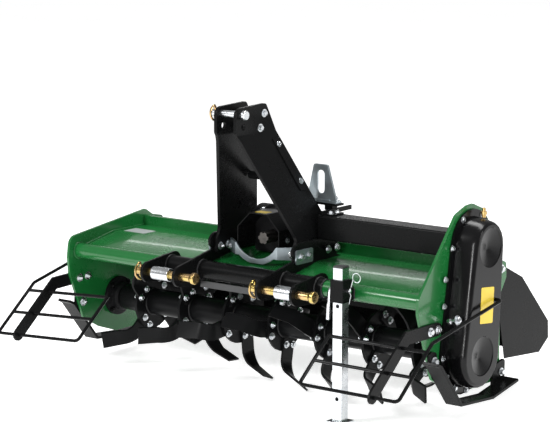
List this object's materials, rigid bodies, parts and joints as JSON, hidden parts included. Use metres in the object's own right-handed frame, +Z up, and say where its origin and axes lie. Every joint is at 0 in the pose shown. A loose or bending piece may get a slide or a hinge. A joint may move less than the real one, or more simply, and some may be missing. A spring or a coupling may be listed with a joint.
{
  "type": "rotary tiller",
  "caption": "Rotary tiller for a three-point hitch: shaft-driven gearbox, side chain case, tined rotor under a deck, hinged tailboard, skids, front guards and a parking stand.",
  "frame": {"origin": "on the ground, at the middle of the bounding box seen from above", "axes": "+X towards the side with the chain case, -Y towards the tractor, +Z up"},
  "size_m": [1.4098, 0.9159, 0.8225],
  "materials": {
    "green_paint": "glossy",
    "black_paint": "semi-gloss",
    "gloss_black_paint": "glossy",
    "cast_housing": "painted satin",
    "zinc": "zinc plated",
    "yellow_zinc": "yellow zinc plated",
    "galvanised": "galvanised, dull",
    "spline_steel": "machined",
    "breather_brass": "satin"
  },
  "bodies": {
    "frame": {"chain_case": "gloss_black_paint", "cross_shaft_housing": "black_paint", "deck_hood": "green_paint", "driveline_cradle": "galvanised", "front_tube": "green_paint", "gearbox": "cast_housing", "gearbox_support": "black_paint", "guard_arm_bearing_side": "black_paint", "guard_arm_chain_side": "black_paint", "guard_wire_bearing_side": "black_paint", "guard_wire_chain_side": "black_paint", "hitch_plate_bearing_side_inner": "black_paint", "hitch_plate_bearing_side_outer": "black_paint", "hitch_plate_chain_side_inner": "black_paint", "hitch_plate_chain_side_outer": "black_paint", "hitch_sleeve": "black_paint", "lifting_lug": "galvanised", "lower_linch_pin_bearing_side": "yellow_zinc", "lower_linch_pin_chain_side": "yellow_zinc", "lower_pin_bearing_side": "yellow_zinc", "lower_pin_chain_side": "yellow_zinc", "mast_plate_bearing_side": "black_paint", "mast_plate_chain_side": "black_paint", "mast_spacer": "black_paint", "oil_breather": "breather_brass", "pin_bushing_bearing_side": "zinc", "pin_bushing_chain_side": "zinc", "pto_guard": "black_paint", "rotor_bearing_bearing_side": "cast_housing", "rotor_bearing_chain_side": "cast_housing", "side_plate_bearing_side": "green_paint", "side_plate_chain_side": "green_paint", "skid_bearing_side": "black_paint", "skid_chain_side": "black_paint", "stand_pin": "zinc", "stand_socket": "black_paint", "tailboard_hinge_rod": "black_paint", "top_link_linch_pin": "yellow_zinc", "top_link_pin": "zinc"},
    "rotor": {"rotor_tube": "black_paint", "tine_set_1": "black_paint", "tine_set_2": "black_paint", "tine_set_3": "black_paint", "tine_set_4": "black_paint", "tine_set_5": "black_paint", "tine_set_6": "black_paint", "tine_set_7": "black_paint"},
    "pto_shaft": {"pto_shaft": "spline_steel"},
    "tailboard": {"tailboard": "black_paint"},
    "parking_stand": {"parking_stand": "zinc"}
  },
  "joints": [
    {"name": "rotor_spin", "type": "hinge", "parent": "frame", "child": "rotor", "pos_m": [0, -0.01325, 0.18379], "axis": [1, 0, 0], "continuous": true},
    {"name": "pto_spin", "type": "hinge", "parent": "frame", "child": "pto_shaft", "pos_m": [0, -0.08725, 0.43579], "axis": [0, -1, 0], "continuous": true},
    {"name": "tailboard_hinge", "type": "hinge", "parent": "frame", "child": "tailboard", "pos_m": [0, 0.17475, 0.38379], "axis": [1, 0, 0], "range_deg": [0, 60]},
    {"name": "stand_slide", "type": "slide", "parent": "frame", "child": "parking_stand", "axis": [0, 0, 1], "range_m": [0, 0.24]}
  ],
  "couplings": [
    {"joint": "pto_spin", "follows": "rotor_spin", "ratio": 2.5}
  ]
}
